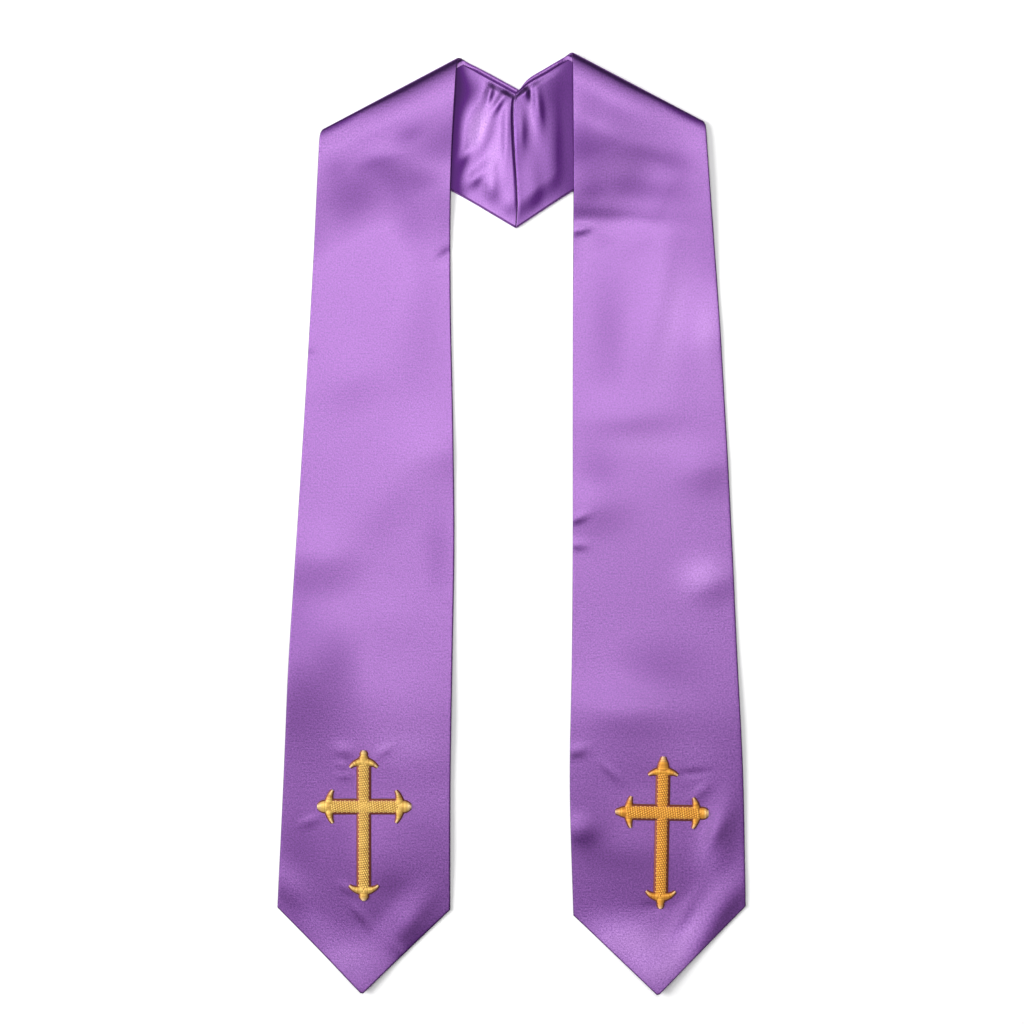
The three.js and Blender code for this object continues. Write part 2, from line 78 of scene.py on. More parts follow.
class Shade:
    """A socket in a material's node tree. Arithmetic on it adds Math nodes."""

    def __init__(self, tree, socket=None):
        self.tree = tree
        self.socket = socket

    def node(self, kind, settings=None, inputs=None, output=0):
        made = self.tree.nodes.new(kind)
        for name, value in (settings or {}).items():
            setattr(made, name, value)
        for name, value in (inputs or {}).items():
            if isinstance(value, Shade):
                self.tree.links.new(value.socket, made.inputs[name])
            else:
                made.inputs[name].default_value = value
        return Shade(self.tree, made.outputs[output])

    def math(self, operation, *operands):
        return self.node("ShaderNodeMath", {"operation": operation}, dict(enumerate(operands)))

    def __add__(self, other):
        return self.math("ADD", self, other)

    def __radd__(self, other):
        return self.math("ADD", other, self)

    def __sub__(self, other):
        return self.math("SUBTRACT", self, other)

    def __rsub__(self, other):
        return self.math("SUBTRACT", other, self)

    def __mul__(self, other):
        return self.math("MULTIPLY", self, other)

    def __rmul__(self, other):
        return self.math("MULTIPLY", other, self)

    def mixed(self, colour_a, colour_b):
        """The two colours, mixed by this factor."""
        return self.node("ShaderNodeMix", {"data_type": "RGBA"}, {0: self, 6: colour_a, 7: colour_b}, 2)

    def times(self, colour_a, colour_b):
        """The first colour, multiplied by the second as far as this factor says."""
        return self.node("ShaderNodeMix", {"data_type": "RGBA", "blend_type": "MULTIPLY"},
                         {0: self, 6: colour_a, 7: colour_b}, 2)


def new_material(name, **constants):
    """A material with its Principled shader's constants set, and the shader and tree to build on."""
    material = bpy.data.materials.new(name)
    material.use_nodes = True
    shader = material.node_tree.nodes["Principled BSDF"]
    for socket, value in constants.items():
        shader.inputs[socket.replace("_", " ")].default_value = value
    return material, shader, Shade(material.node_tree)


def feed(shade, shader, **links):
    """Links what varies over the surface to the shader's own sockets."""
    for socket, value in links.items():
        shade.tree.links.new(value.socket, shader.inputs[socket.replace("_", " ")])


bpy.ops.mesh.primitive_plane_add(size=TABLE_SIZE, location=(0, 0, TABLE_HEIGHT))
table = bpy.context.object
table.name = "table"
paper, paper_shader, paper_shade = new_material("white_paper", Roughness=0.9)
paper_place = paper_shade.node("ShaderNodeTexCoord", output="Object")
paper_tooth = paper_shade.node("ShaderNodeTexNoise", inputs={
    "Vector": paper_place, "Scale": PAPER_TOOTH_SCALE})
feed(paper_shade, paper_shader, Base_Color=paper_tooth.mixed(*PAPER_WHITES))
table.data.materials.append(paper)

for name, box in SOFTBOXES.items():
    aim = np.subtract(box.aim, box.place)
    turn = (math.acos(-aim[2] / np.linalg.norm(aim)), 0, math.atan2(-aim[0], aim[1]))
    bpy.ops.object.light_add(type="AREA", location=box.place, rotation=turn)
    softbox = bpy.context.object
    softbox.name = name
    softbox.data.size = box.size
    softbox.data.energy = box.watts

walls = bpy.data.worlds.new("white_walls")
walls.use_nodes = True
walls.node_tree.nodes["Background"].inputs["Color"].default_value = (1, 1, 1, 1)
walls.node_tree.nodes["Background"].inputs["Strength"].default_value = WALL_LIGHT
bpy.context.scene.world = walls
bpy.context.scene.view_settings.view_transform = "Standard"


# The two strips. Each is one long tapered band of purple satin over interlining, bagged out so
# that its edges are turned and round. From the pointed hem it runs up to the shoulder, turns
# over there in a soft roll, and runs on under itself to the mitred seam at the centre back.
FRAME_SHIFT = np.array((0.3944, 0.8680, 0.0))  # from the middle line to the middle of the box
WALL = 2.0
EDGE_ROUND = 1.3  # how far in a turned edge is rounded
EDGE_SLIVER = 0.12  # share of the wall left at the very edge
# The shoulder roll's rise below and above its middle, how far in from the fold it reaches on the
# back and on the front, and how it turns its corners.
ROLL = SimpleNamespace(under=2.6, over=4.0, back_depth=5.0, front_depth=26.0, crest=0.5, corner=1.6)
SHOULDER = SimpleNamespace(cut=2.4, depth=3.4)  # how its corner is rounded off
PRESSED = SimpleNamespace(by=2.4, start=50.0, end=132.0)  # the roll, towards the outer corner
ON_BACK = 3.2  # how much higher the front lies where it rests on the back and its lining
BESIDE_FROM, BESIDE_TO = 92.0, 134.0  # along the fold, where the front leaves the back
HEM_FADE = 190.0  # how far above the hem its point still bends the rows
HEM_SLANT = math.sqrt(2)  # rows at the turned hem lie this much further apart, as it slants
SEAM_GAP = 0.3
SEAM_BOW_POWER = 4  # the seam's bow dies out quickly away from the seam
LIP_WIDTH = 4.2  # of the rolled lip along the neck edge of the back
LIP_TOP = 3.85
LIP_START = 0.95  # share of the wall that it starts from at the edge
LIP_UNDERCUT = 0.9  # share of the wall that its under side is rounded by
LIP_SHARE = 0.25  # of the way to the centre seam over which it grows
FRONT_ROWS = 340
ROLL_ROWS = 44
BACK_ROWS = 56
MIDDLE_COLUMNS = 62
# Places of the rows or columns nearest to a turned edge, beside a plain one and across the lip.
EDGE_COLUMNS = np.array((0, 0.05, 0.2, 0.43, 0.8, 1.3))
FLAT_COLUMNS = np.array((0, 0.05, 0.2, 0.43, 0.8, 1.3, 2.0, 2.7, 3.5, 4.2))
LIP_COLUMNS = np.array((0, 0.12, 0.45, 0.95, 1.55, 2.1, 2.7, 3.3, 3.8, 4.2))

# Each half's front edges at a few heights, its pointed hem, the ends of its shoulder fold, the two
# edges of its back, how far in from the fold its front comes down, and the middle of its cross.
# Here x is counted out from the middle line, and y up from the middle of the whole length.
Section = namedtuple("Section", "y inner outer")
HALVES = {
    "left": SimpleNamespace(
        sign=-1,
        sections=[
            Section(-338, 54.3, 206.3),
            Section(-226, 54.0, 200.9),
            Section(-120, 52.3, 196.0),
            Section(-15, 50.6, 189.6),
            Section(91, 51.8, 182.9),
            Section(196, 53.9, 176.7),
            Section(302, 53.5, 171.0),
            Section(410, 48.0, 165.4),
        ],
        hem=SimpleNamespace(inner_y=-340, outer_y=-338, tip_depth=75, tip_shift=1.4),
        apex=(45.8, 408.6),
        shoulder=(169.0, 343.4),
        neck_edge=[(20.0, 395.2)],
        lower_edge=[(112.0, 320.0), (53.7, 292.2)],
        descent=SimpleNamespace(start=28, end=92, outer_end=100, step_start=-14, step_end=54),
        cross=(130.1, -249.0),
    ),
    "right": SimpleNamespace(
        sign=1,
        sections=[
            Section(-338, 53.9, 205.5),
            Section(-226, 50.8, 203.3),
            Section(-120, 52.6, 198.3),
            Section(-15, 53.4, 193.6),
            Section(91, 53.4, 188.0),
            Section(196, 53.6, 181.6),
            Section(302, 54.0, 173.6),
            Section(410, 53.2, 166.2),
        ],
        hem=SimpleNamespace(inner_y=-345, outer_y=-337, tip_depth=74, tip_shift=-1.7),
        apex=(51.9, 413.2),
        shoulder=(171.2, 350.4),
        neck_edge=[(30.0, 400.2), (14.1, 390.3)],
        lower_edge=[(112.0, 324.0), (54.0, 292.0)],
        descent=SimpleNamespace(start=30, end=104, outer_end=140, step_start=-16, step_end=60),
        cross=(132.0, -254.3),
    ),
}
# The centre back seam from the neck edge down, with x to the wearer's left, the viewer's right.
CENTRE_SEAM = [
    (6.2, 381.0), (2.4, 374.0), (1.3, 362.0), (1.6, 344.0),
    (2.6, 322.0), (4.0, 300.0), (4.8, 278.0), (3.5, 259.2),
]

# Soft ridges of the fronts, and short puckers that the sewing draws up at the edges and round each
# cross. Each has its place, its direction in degrees, its reach along and across, and its rise,
# which is below 0 in a trough.
Ridge = namedtuple("Ridge", "x y turn length width rise")
FRONT_RIDGES = {
    "left": [
        Ridge(112, 330, 24, 50, 18, 0.7),
        Ridge(96, 196, 88, 70, 30, 1.2),
        Ridge(76, 62, 0, 32, 26, 1.5),
        Ridge(120, 20, -42, 40, 26, 0.6),
        Ridge(146, 130, -10, 30, 24, 0.6),
        Ridge(170, -30, 8, 34, 28, 1.7),
        Ridge(112, -84, 8, 34, 22, 0.5),
        Ridge(188, -124, 4, 40, 56, 4.0),
        Ridge(96, -168, 16, 50, 30, 0.6),
        Ridge(126, -172, 0, 120, 84, 3.6),
        Ridge(104, -292, -8, 90, 46, 2.6),
        Ridge(192, -322, 42, 26, 14, 1.0),
        Ridge(95, -353, -50, 34, 14, 1.4),
        Ridge(136, -412, 0, 46, 28, 4.6),
    ],
    "right": [
        Ridge(64, 346, 10, 40, 32, 1.7),
        Ridge(82, 266, -3, 50, 9, -0.6),
        Ridge(128, 196, 80, 60, 14, 0.7),
        Ridge(172, 168, 8, 24, 26, 1.0),
        Ridge(102, 94, 0, 40, 18, 0.9),
        Ridge(168, 50, 0, 26, 20, 1.0),
        Ridge(70, 14, 0, 28, 20, 0.9),
        Ridge(172, -52, 12, 22, 16, 1.0),
        Ridge(94, -164, -4, 44, 20, 1.2),
        Ridge(126, -184, 2, 110, 66, 3.6),
        Ridge(104, -296, 2, 80, 44, 1.8),
        Ridge(184, -268, 75, 36, 14, 1.0),
        Ridge(186, -330, 40, 34, 14, 0.9),
        Ridge(112, -376, 10, 44, 22, 1.8),
        Ridge(168, -364, 56, 40, 13, 1.25),
        Ridge(130, -418, 0, 52, 34, 6.2),
    ],
}
PUCKERS = {
    "left": [
        Ridge(180, 147, 4, 10, 4, -0.4),
        Ridge(57, 236, -30, 8, 5, -0.5),
        Ridge(148, -200, 20, 9, 6, 0.4),
        Ridge(149, -213, 40, 5, 3, 0.35),
        Ridge(147, -222, 10, 6, 3, 0.3),
        Ridge(112, -200, -30, 8, 4, 0.22),
        Ridge(145, -321, 30, 8, 3.5, 0.3),
        Ridge(134, -343, 50, 12, 4, 0.35),
        Ridge(126, -352, 54, 10, 4, 0.25),
        Ridge(178, -262, -20, 9, 4, 0.3),
        Ridge(96, -378, 40, 14, 3.5, 0.4),
    ],
    "right": [
        Ridge(60, 258, 10, 9, 4, 0.6),
        Ridge(57, 4, 20, 9, 4, 0.5),
        Ridge(57, -19, -10, 8, 4, 0.5),
        Ridge(57, -200, 15, 9, 5, 0.5),
        Ridge(60, -270, -10, 14, 12, 1.1),
        Ridge(84, -216, -50, 10, 3, 0.25),
        Ridge(93, -223, -50, 9, 3, 0.2),
        Ridge(159, -220, 4, 15, 2.6, -0.25),
        Ridge(166, -236, 40, 10, 5, 0.3),
        Ridge(178, -271, 70, 15, 7, 0.6),
        Ridge(126, -338, 0, 12, 5, -0.4),
        Ridge(150, -344, 56, 22, 6, 0.5),
    ],
}

# Patches of shade painted into the satin's colour, or of painted light where the amount is below 0, in the
# same columns, with a share of full shade in place of the rise.
PAINTED_PATCHES = {
    "left": [
        Ridge(148, 355, -28, 38, 6, 1.7),
        Ridge(116, 338, -28, 50, 12, 0.2),
        Ridge(92, 339, -28, 16, 8, 0.35),
        Ridge(84, 313, 0, 30, 10, -0.3),
        Ridge(106, 298, 0, 20, 14, -0.15),
        Ridge(156, 312, 0, 14, 14, 0.22),
        Ridge(92, 262, 60, 24, 16, 0.25),
        Ridge(168, 268, 0, 20, 20, -0.35),
        Ridge(76, 42, 0, 24, 20, -0.3),
        Ridge(192, -90, 90, 70, 26, 0.6),
        Ridge(146, -126, 90, 44, 20, 0.22),
        Ridge(92, -195, 0, 44, 20, -0.6),
        Ridge(66, -28, 90, 40, 12, 0.22),
        Ridge(186, -285, 90, 38, 28, 0.55),
        Ridge(150, -276, 90, 30, 16, 0.3),
        Ridge(84, -268, 0, 44, 20, 0.3),
        Ridge(106, -318, 0, 14, 12, 0.3),
        Ridge(86, -347, 0, 14, 9, -0.25),
        Ridge(122, -345, 0, 20, 10, 0.28),
        Ridge(176, -344, 44, 24, 12, -0.5),
        Ridge(84, -376, -44, 46, 8, 1.4),
        Ridge(146, -382, 0, 20, 16, -0.3),
    ],
    "right": [
        Ridge(152, 360, -28, 36, 5, 1.4),
        Ridge(62, 352, 90, 32, 14, 0.32),
        Ridge(84, 360, -28, 24, 10, 0.35),
        Ridge(142, 316, 0, 18, 12, 0.4),
        Ridge(70, 290, 0, 16, 10, 0.4),
        Ridge(126, 292, 0, 30, 12, 0.38),
        Ridge(84, 284, 0, 20, 18, -0.3),
        Ridge(98, 312, 0, 26, 12, -0.4),
        Ridge(64, 248, 0, 10, 12, -0.3),
        Ridge(84, 172, 90, 50, 16, 0.2),
        Ridge(138, 176, 80, 56, 14, -0.4),
        Ridge(172, 164, 90, 34, 13, -0.5),
        Ridge(112, 72, 0, 34, 12, -0.3),
        Ridge(76, 42, 90, 24, 18, 0.25),
        Ridge(166, -48, 0, 20, 20, -0.5),
        Ridge(130, -128, 0, 50, 30, 0.5),
        Ridge(66, -270, 0, 24, 24, 0.55),
        Ridge(92, -296, 0, 40, 14, 0.4),
        Ridge(160, -206, 0, 34, 20, -0.4),
        Ridge(130, -237, 0, 40, 12, -0.3),
        Ridge(174, -292, 90, 26, 14, -0.5),
        Ridge(92, -362, -10, 34, 20, -0.75),
        Ridge(152, -362, 50, 34, 12, -0.95),
        Ridge(124, -384, 0, 28, 18, -0.8),
    ],
}


def fade(t):
    """From 1 at t = 0 to 0 at t = 1, level at both ends."""
    return 0.5 + 0.5 * np.cos(np.pi * np.clip(t, 0, 1))


def mix(a, b, t):
    return a + (b - a) * t


def quarter_round(t):
    """From 0 at t = 0 to 1 at t = 1, as a quarter of a circle rises from upright to level."""
    return np.sqrt(1 - np.clip(1 - t, 0, 1) ** 2)


def unit(vector):
    return vector / np.linalg.norm(vector, axis=-1, keepdims=True)


def smooth_path(points, steps=60, between=40):
    """Evenly spaced points on a smooth curve through the given ones."""
    knots = np.array(points, float)
    knots = np.vstack([2 * knots[0] - knots[1], knots, 2 * knots[-1] - knots[-2]])
    t = np.linspace(0, 1, between, endpoint=False)[:, None]
    line = []
    for before, start, end, after in zip(knots, knots[1:], knots[2:], knots[3:]):
        gap_in, gap, gap_out = (np.sum((b - a) ** 2) ** 0.25
                                for a, b in ((before, start), (start, end), (end, after)))
        leave = (start - before) / gap_in - (end - before) / (gap_in + gap) + (end - start) / gap
        arrive = (end - start) / gap - (after - start) / (gap + gap_out) + (after - end) / gap_out
        leave, arrive = leave * gap, arrive * gap
        bend = 3 * (end - start) - 2 * leave - arrive
        twist = 2 * (start - end) + leave + arrive
        line.append(start + leave * t + bend * t**2 + twist * t**3)
    line = np.vstack([*line, knots[-2]])
    run = np.concatenate([[0], np.cumsum(np.linalg.norm(np.diff(line, axis=0), axis=1))])
    even = np.linspace(0, run[-1], steps + 1)
    return np.column_stack([np.interp(even, run, line[:, k]) for k in (0, 1)])


def along(path, share):
    """The points that lie the given shares of the way along a path."""
    places = np.linspace(0, 1, len(path))
    return np.stack([np.interp(share, places, path[:, k]) for k in (0, 1)], axis=-1)


def fold_place(half, point):
    """How far in from the fold, and how far along it from the apex."""
    offset = point - half.apex
    return offset @ half.fold_in, offset @ half.fold_along


def share_at_depth(half, path, depth):
    """The share of the way along a path at which it lies so far in from the fold."""
    depths = fold_place(half, path)[0]
    after = int(np.argmax(depths >= depth))
    part = (depth - depths[after - 1]) / (depths[after] - depths[after - 1])
    return (after - 1 + part) / (len(path) - 1)


def lay_out(half):
    """Gives a half its fold axes and its four edges, each starting at the fold."""
    half.apex = np.array(half.apex)
    shoulder = np.array(half.shoulder)
    half.fold_along = unit(shoulder - half.apex)
    half.fold_in = np.array((half.fold_along[1], -half.fold_along[0]))
    seam = [(x * half.sign + SEAM_GAP / 2, y) for x, y in CENTRE_SEAM]
    half.seam = smooth_path(seam)
    half.edges = {
        "front_inner": smooth_path([(s.inner, s.y) for s in reversed(half.sections)]),
        "front_outer": smooth_path([(s.outer, s.y) for s in reversed(half.sections)]),
        "neck": smooth_path([half.apex, *half.neck_edge, seam[0]]),
        "lower": smooth_path([shoulder, *half.lower_edge, seam[-1]]),
    }
    depths = dict(front_inner=ROLL.front_depth, front_outer=ROLL.front_depth,
                  neck=ROLL.back_depth, lower=ROLL.back_depth)
    half.start = {name: share_at_depth(half, half.edges[name], depth) for name, depth in depths.items()}
    half.step_at = np.array(half.lower_edge[1])
    half.step_along = unit(shoulder - half.step_at)


def ridge_rise(ridges, x, y):
    """The rises of soft ridges, or the amounts of painted shade and light patches, added up at each point.
    """
    rise = np.zeros_like(x)
    for ridge in ridges:
        turn = math.radians(ridge.turn)
        dx, dy = x - ridge.x, y - ridge.y
        lengthwise = (dx * math.cos(turn) + dy * math.sin(turn)) / ridge.length
        crosswise = (dy * math.cos(turn) - dx * math.sin(turn)) / ridge.width
        rise = rise + ridge.rise * np.exp(-lengthwise**2 - crosswise**2)
    return rise


def front_height(name, half, point):
    """Height of the middle of the front's cloth: down from the roll, then down off the back."""
    depth, reach = fold_place(half, point)
    down = half.descent
    top = ROLL.under + roll_over(reach)
    past_back = (point - half.step_at) @ (half.step_along[1], -half.step_along[0])
    past_roll = 1 - fade((depth - ROLL.front_depth) / ROLL.front_depth)
    step = fade(past_roll * (past_back - down.step_start) / (down.step_end - down.step_start))
    over_back = (top - ON_BACK) * fade((depth - down.start) / (down.end - down.start)) + ON_BACK * step
    beside_back = top * fade((depth - down.start) / (down.outer_end - down.start))
    lift = mix(over_back, beside_back, 1 - fade((reach - BESIDE_FROM) / (BESIDE_TO - BESIDE_FROM)))
    x, y = point[..., 0], point[..., 1]
    return WALL / 2 + lift + ridge_rise(FRONT_RIDGES[name] + PUCKERS[name], x, y) * past_roll


def round_wall(distance):
    """Thickness of the cloth at a distance in from a turned edge."""
    return WALL * np.maximum(quarter_round(distance / EDGE_ROUND), EDGE_SLIVER)


def columns_across(width, grown):
    """Places across each row, close at both edges, and at the lip's own places where it has grown."""
    inner = mix(FLAT_COLUMNS, LIP_COLUMNS, grown[:, None])
    shares = np.linspace(0, 1, MIDDLE_COLUMNS + 1)[1:-1]
    middle = mix(LIP_WIDTH, width[:, None] - EDGE_ROUND, shares)
    outer = width[:, None] - EDGE_COLUMNS[::-1]
    return np.hstack([inner, middle, outer])


def with_height(point, height):
    return np.concatenate([point, height[..., None]], axis=-1)


def front_rows(name, half):
    """Rows of the front from the hem, with close rows at the turned edge, up to the roll."""
    shares = np.concatenate([np.zeros(len(EDGE_COLUMNS) - 1), np.linspace(0, 1, FRONT_ROWS + 1)])
    from_hem = np.full(len(shares), EDGE_ROUND)
    from_hem[: len(EDGE_COLUMNS)] = EDGE_COLUMNS
    raised = np.where(np.arange(len(shares)) < len(EDGE_COLUMNS), from_hem, 0) * HEM_SLANT
    inner = along(half.edges["front_inner"], mix(1, half.start["front_inner"], shares))
    outer = along(half.edges["front_outer"], mix(1, half.start["front_outer"], shares))
    width = np.linalg.norm(outer - inner, axis=1)
    places = columns_across(width, np.zeros(len(shares)))
    across = places / width[:, None]
    point = mix(inner[:, None], outer[:, None], across[..., None])
    base = half.sections[0].y
    corner = mix(half.hem.inner_y, half.hem.outer_y, across) - base
    tent = 1 - np.abs(2 * across - 1)
    pointed = fade((point[..., 1] - base) / HEM_FADE)
    point[..., 1] += (corner - half.hem.tip_depth * tent) * pointed + raised[:, None]
    point[..., 0] += half.hem.tip_shift * tent * pointed
    side = round_wall(np.minimum(places, width[:, None] - places))
    wall = np.minimum(side, round_wall(from_hem)[:, None])
    return with_height(point, front_height(name, half, point)), wall, places


def roll_over(reach):
    """How far the wide curve rises above the middle of the roll."""
    return ROLL.over - PRESSED.by * (1 - fade((reach - PRESSED.start) / (PRESSED.end - PRESSED.start)))


def edge_reach(half, front, back, t, depth):
    """How far along the fold an edge lies as it goes round the roll, from the front to the back."""
    depth = np.hypot(depth, ROLL.corner)
    reaches = []
    for edge in (front, back):
        path_depth, path_reach = fold_place(half, half.edges[edge])
        reaches.append(np.interp(depth, path_depth, path_reach))
    return mix(*reaches, 1 - fade((t - 0.5) / ROLL.crest + 0.5))


def roll_rows(half):
    """Rows round the fold: a wide easy curve above, and a tight one below."""
    t = np.linspace(0, 1, ROLL_ROWS + 1)[1:-1]
    angle = np.pi * (t - 0.5)
    above = angle < 0
    depth = np.where(above, ROLL.front_depth, ROLL.back_depth) * (1 - np.cos(angle))
    inner = edge_reach(half, "front_inner", "neck", t, depth)
    outer = edge_reach(half, "front_outer", "lower", t, depth)
    outer = outer - SHOULDER.cut * (1 - quarter_round(depth / SHOULDER.depth))
    places = columns_across(outer - inner, 1 - fade(t * 2 - 1))
    reach = inner[:, None] + places
    rise = np.where(above[:, None], roll_over(reach), ROLL.under)
    height = WALL / 2 + ROLL.under - rise * np.sin(angle)[:, None]
    point = half.apex + reach[..., None] * half.fold_along + depth[:, None, None] * half.fold_in
    wall = round_wall(np.minimum(places, (outer - inner)[:, None] - places))
    return with_height(point, height), wall, places


def back_point(half, share, place):
    """Points of the back: lines from the neck edge to the lower edge that take the seam's bow."""
    inner = along(half.edges["neck"], mix(half.start["neck"], 1, share))
    outer = along(half.edges["lower"], mix(half.start["lower"], 1, share))
    width = np.linalg.norm(outer - inner, axis=1)
    places = place(width)
    across = places / width[:, None]
    chord = mix(half.seam[0], half.seam[-1], across[..., None])
    bow = along(half.seam, across) - chord
    straight = mix(inner[:, None], outer[:, None], across[..., None])
    return straight + bow * share[:, None, None] ** SEAM_BOW_POWER, places, width


def back_rows(half):
    """Rows of the back, flat on the table but for the rolled lip at the neck edge."""
    share = np.linspace(0, 1, BACK_ROWS + 1)
    point, places, width = back_point(half, share, lambda w: columns_across(w, np.ones(len(share))))
    grown = (1 - fade(share / LIP_SHARE))[:, None]
    flat_wall = round_wall(np.minimum(places, width[:, None] - places))
    half_lip = LIP_WIDTH / 2
    dome = np.sqrt(np.clip(1 - ((places - half_lip) / half_lip) ** 2, 0, 1))
    start = np.where(places < half_lip, WALL * LIP_START, WALL)
    top = start + (LIP_TOP - start) * dome
    undercut = WALL * LIP_UNDERCUT
    bottom = undercut * (1 - quarter_round(places / undercut))
    in_lip = places < LIP_WIDTH
    middle = np.where(in_lip, mix(WALL / 2, (top + bottom) / 2, grown), WALL / 2)
    wall = np.where(in_lip, mix(flat_wall, top - bottom, grown), flat_wall)
    return with_height(point, middle), wall, places


def grid_normals(point):
    across = np.gradient(point, axis=1)
    lengthwise = np.gradient(point, axis=0)
    return unit(np.cross(across, lengthwise))


# How shade and light are painted into the satin's colour. Painted shade deepens as the cloth tips away from
# the light, the painted darkest colour is strongest on the flank of a roll, up to where it stands upright,
# and along the rim of a turned edge.
LIGHT_FROM = np.array((-0.5, 0.866))
AWAY_SHADE = 5.0
STEEP_SHADE = 4.6
STEEP_FROM = 0.055
UPRIGHT_FROM = 0.35
RIM_SHADE = 1.3
PAINTED_DARKEST_MOST = 0.95


def painted_shade_and_light(normal, cloth):
    """Shares of painted full shade, of the painted darkest colour and of painted full light, at each point
    of a cloth.
    """
    steep = np.hypot(normal[..., 0], normal[..., 1])
    upright = np.clip((steep - UPRIGHT_FROM) / (1 - UPRIGHT_FROM), 0, 1)
    flank = np.clip(cloth.steep_shade * (steep - STEEP_FROM), 0, PAINTED_DARKEST_MOST) * (1 - upright)
    rim = RIM_SHADE * np.sqrt(np.clip(1 - cloth.wall / WALL, 0, 1)) * cloth.rimmed
    away = -AWAY_SHADE * (normal[..., :2] @ LIGHT_FROM)
    depth = away + cloth.shaded
    turned = np.clip(np.maximum(rim, depth - 1), 0, PAINTED_DARKEST_MOST)
    lit = np.clip(-np.maximum(away, 0) - cloth.shaded, 0, 1)
    return np.clip(depth, 0, 1), np.maximum(turned, flank), lit


def cloth_mesh(name, sign, cloth):
    """One closed wall round a grid of middle points, with a flat pattern in metres as its UV map."""
    point = cloth.point * (sign, 1, 1)
    normal = cloth.normal * (sign, 1, 1)
    lengths = np.linalg.norm(np.diff(point, axis=0), axis=-1)
    run = cloth.start + np.vstack([np.zeros(point.shape[1]), np.cumsum(lengths, axis=0)])
    pattern = np.stack([cloth.places * sign, run], axis=-1) * MM
    shade, turned, lit = painted_shade_and_light(normal, cloth)
    wall = cloth.wall
    if sign < 0:
        point, normal, wall, pattern, shade, turned, lit = (
            a[:, ::-1] for a in (point, normal, wall, pattern, shade, turned, lit))
    rows, columns = wall.shape
    offset = normal * wall[..., None] / 2
    vertices = np.concatenate([(point + offset).reshape(-1, 3), (point - offset).reshape(-1, 3)])
    vertices = (vertices + FRAME_SHIFT) * MM
    count = rows * columns
    ids = np.arange(count).reshape(rows, columns)
    a, b, c, d = ids[:-1, :-1], ids[:-1, 1:], ids[1:, 1:], ids[1:, :-1]
    upper = np.stack([a, b, c, d], -1).reshape(-1, 4)
    lower = np.stack([a, d, c, b], -1).reshape(-1, 4) + count
    quads = [upper, lower]
    rims = [ids[0, ::-1], ids[-1, :], ids[:, 0], ids[::-1, -1]]
    for rim in rims:
        here, there = rim[:-1], rim[1:]
        quads.append(np.stack([here, there, there + count, here + count], -1))
    mesh = bpy.data.meshes.new(name)
    mesh.from_pydata(vertices.tolist(), [], np.concatenate(quads).tolist())
    corner_ids = np.zeros(len(mesh.loops), int)
    mesh.loops.foreach_get("vertex_index", corner_ids)
    pattern = np.concatenate([pattern.reshape(-1, 2)] * 2)
    mesh.uv_layers.new(name="flat_pattern").data.foreach_set("uv", pattern[corner_ids].ravel())
    # The shares of painted shade, of the painted darkest colour and of painted light, which the satin's
    # colour reads.
    for key, values in (("shade", shade), ("turned", turned), ("lit", lit)):
        attribute = mesh.attributes.new(key, "FLOAT", "POINT")
        attribute.data.foreach_set("value", np.tile(values.ravel(), 2))
    mesh.polygons.foreach_set("use_smooth", [True] * len(mesh.polygons))
    piece = bpy.data.objects.new(name, mesh)
    bpy.context.collection.objects.link(piece)
    return piece


# The satin's finish: what its own colour is multiplied by in painted full shade and in painted full light,
# the painted colour of its darkest turns, how its sheen changes there, and the grain, slubs and weave.
PAINTED_SHADE_COLOUR = (0.37, 0.17, 0.43, 1)
PAINTED_LIGHT_GAIN = (1.9, 3.0, 1.7, 1)
PAINTED_DARKEST = (0.040, 0.009, 0.080, 1)
PAINTED_SHADE_METALLIC = 0.45
PAINTED_DARKEST_METALLIC = 0.60
PAINTED_LIGHT_METALLIC = 0.30
MOST_METALLIC = 0.92
PAINTED_SHADE_ROUGHNESS = 0.20
TONE_ROUGHNESS = 0.16
GLAZE = 1.8
GLAZE_TINT = (1.0, 0.69, 0.96, 1)
COAT_GRAIN = 0.32
COAT_ROUGHNESS = 0.35
MOTTLE = SimpleNamespace(scale=640.0, detail=4.0, contrast=1.6, relief=0.6)
SLUB = SimpleNamespace(scale=(60.0, 900.0, 1.0), detail=2.0, contrast=0.1, relief=0.25)
WEAVE = SimpleNamespace(scale=700.0, detail=1.0, distortion=1.2, relief=0.15)
RELIEF_STRENGTH = 0.55


